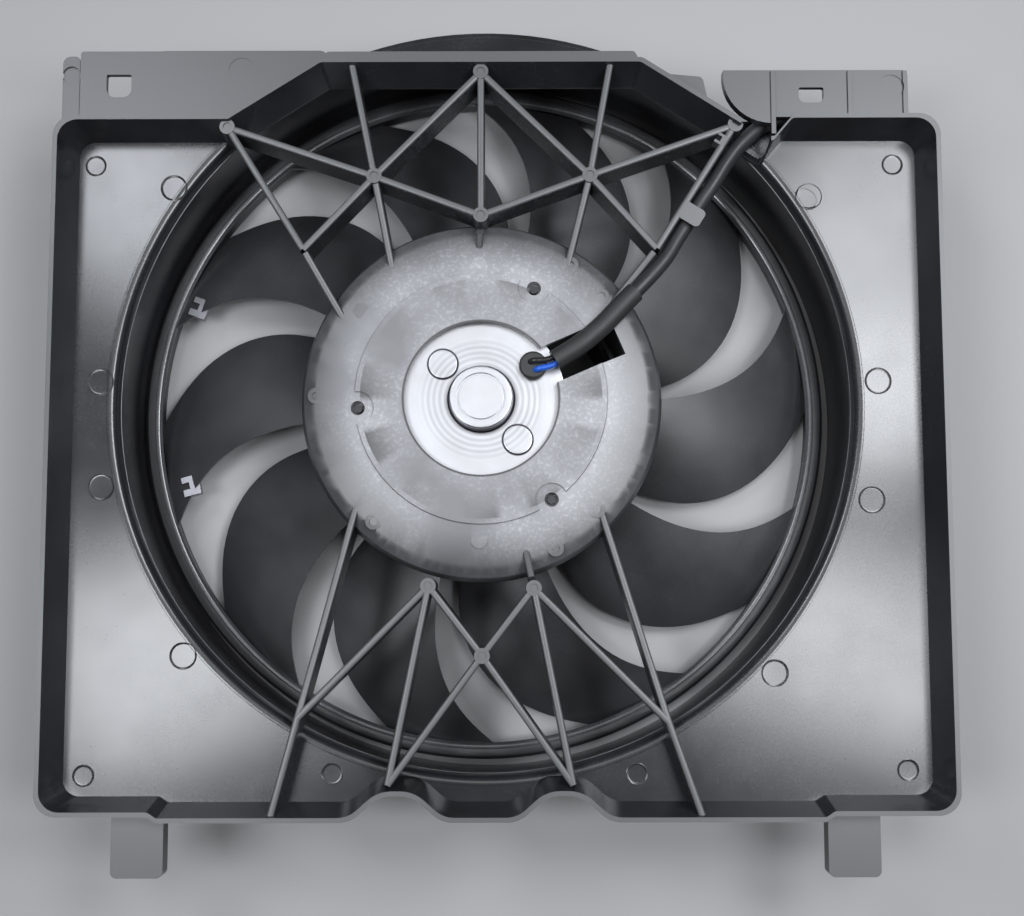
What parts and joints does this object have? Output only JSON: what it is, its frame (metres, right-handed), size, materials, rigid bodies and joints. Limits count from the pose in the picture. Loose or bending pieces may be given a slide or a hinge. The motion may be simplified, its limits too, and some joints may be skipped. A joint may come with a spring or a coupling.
{
  "type": "radiator fan",
  "caption": "Electric radiator fan: sickle-bladed ringed fan on a brushed motor, held by a web of struts in a shallow moulded shroud with tabs, feet and a sleeved lead.",
  "frame": {"origin": "under the middle of the whole part, on the plane of the barrel's engine-side edge", "axes": "+X along the long side, towards the side that the lead's connector is on; +Y towards the two slotted tabs; +Z towards the radiator, along the fan's axis"},
  "size_m": [0.5684, 0.5494, 0.096],
  "materials": {
    "shroud_plastic": "fine-grained black glass-filled plastic, satin where it catches light",
    "ring_plastic": "dry, greyer black plastic with faint flow marks",
    "fan_plastic": "smooth black plastic, satin",
    "can_steel": "black passivated drawn steel",
    "plate_steel": "bright zinc-plated pressing with turned rings",
    "bearing_bronze": "sintered bronze, oil-filled",
    "spring_steel": "spring steel strip",
    "ferrite": "ground ceramic ferrite",
    "core_steel": "stacked electrical steel",
    "copper": "enamelled copper wire",
    "commutator_copper": "turned copper segments",
    "carbon": "copper-bearing carbon",
    "tube_brass": "bright pressed brass",
    "card_board": "brown phenolic board",
    "shaft_steel": "ground steel",
    "screw_steel": "zinc-plated steel",
    "clip_steel": "dark spring steel",
    "rubber": "soft black rubber",
    "sleeve_cloth": "black woven tape sleeve",
    "wire_black": "black insulation",
    "wire_blue": "blue insulation",
    "connector_plastic": "black nylon",
    "pin_brass": "tin-plated brass",
    "seal_rubber": "dark red silicone"
  },
  "bodies": {
    "shroud": {"shroud_panel": "shroud_plastic", "fan_barrel": "shroud_plastic", "motor_ring": "ring_plastic", "upper_struts": "shroud_plastic", "lower_struts": "shroud_plastic", "motor_can": "can_steel", "end_plate": "plate_steel", "front_bearing": "bearing_bronze", "rear_bearing": "bearing_bronze", "bearing_retainer": "spring_steel", "magnets": "ferrite", "carbon_brushes": "carbon", "brush_holders": "tube_brass", "brush_springs": "spring_steel", "brush_card": "card_board", "choke_coils": "copper", "motor_screws": "screw_steel", "lead_grommet": "rubber", "wire_black": "wire_black", "wire_blue": "wire_blue", "lead_sleeve": "sleeve_cloth", "lead_boot": "rubber", "connector_housing": "connector_plastic", "connector_pins": "pin_brass", "connector_seal": "seal_rubber"},
    "rotor": {"fan": "fan_plastic", "balance_clips": "clip_steel", "motor_shaft": "shaft_steel", "drive_pin": "shaft_steel", "fan_washer": "screw_steel", "fan_nut": "screw_steel", "armature_core": "core_steel", "armature_windings": "copper", "commutator": "commutator_copper"}
  },
  "joints": [
    {"name": "fan_spin", "type": "hinge", "parent": "shroud", "child": "rotor", "pos_m": [-0.01025, 0.02515, 0.05], "axis": [0, 0, 1], "continuous": true}
  ]
}
